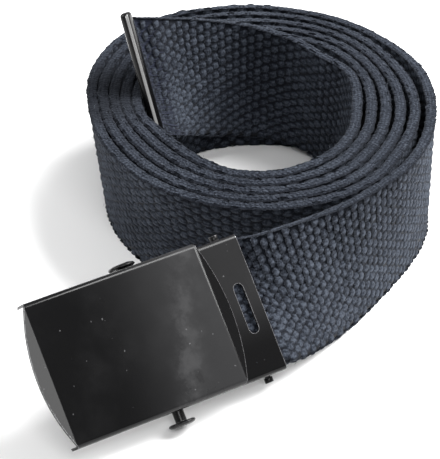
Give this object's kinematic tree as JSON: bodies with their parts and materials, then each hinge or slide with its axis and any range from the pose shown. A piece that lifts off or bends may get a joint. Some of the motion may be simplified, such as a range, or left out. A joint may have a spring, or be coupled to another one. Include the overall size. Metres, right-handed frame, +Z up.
{
  "type": "web belt",
  "caption": "Woven canvas belt coiled on its edge, with a box-frame slide buckle on the outer end and a folded metal tip on the inner end.",
  "frame": {"origin": "middle of the footprint, on the floor that the coil stands on", "axes": "+Z up, along the webbing's width; -Y towards the viewer and the buckle; +X to the viewer's right"},
  "size_m": [0.101, 0.167, 0.0519],
  "materials": {
    "belt_webbing": "coarse plain-woven cotton, matt",
    "belt_tip": "black satin lacquer, rubbed bright along its edges",
    "buckle_frame": "black gloss lacquer, smudged and scuffed",
    "clamp_plate": "black satin lacquer",
    "clamp_jaw": "black satin lacquer",
    "clamp_pin": "darkened steel",
    "locking_bar": "black satin lacquer"
  },
  "bodies": {
    "belt": {"belt_webbing": "belt_webbing", "belt_tip": "belt_tip", "buckle_frame": "buckle_frame", "clamp_plate": "clamp_plate", "clamp_pin": "clamp_pin"},
    "jaw": {"clamp_jaw": "clamp_jaw"},
    "bar": {"locking_bar": "locking_bar"}
  },
  "joints": [
    {"name": "bar_slide", "type": "slide", "parent": "belt", "child": "bar", "axis": [-0.7362, -0.6623, 0.1391], "range_m": [0, 0.006]},
    {"name": "jaw_swing", "type": "hinge", "parent": "belt", "child": "jaw", "pos_m": [0.00034, -0.03976, 0.01561], "axis": [0.3644, -0.5612, -0.7431], "range_deg": [0, 50]}
  ]
}
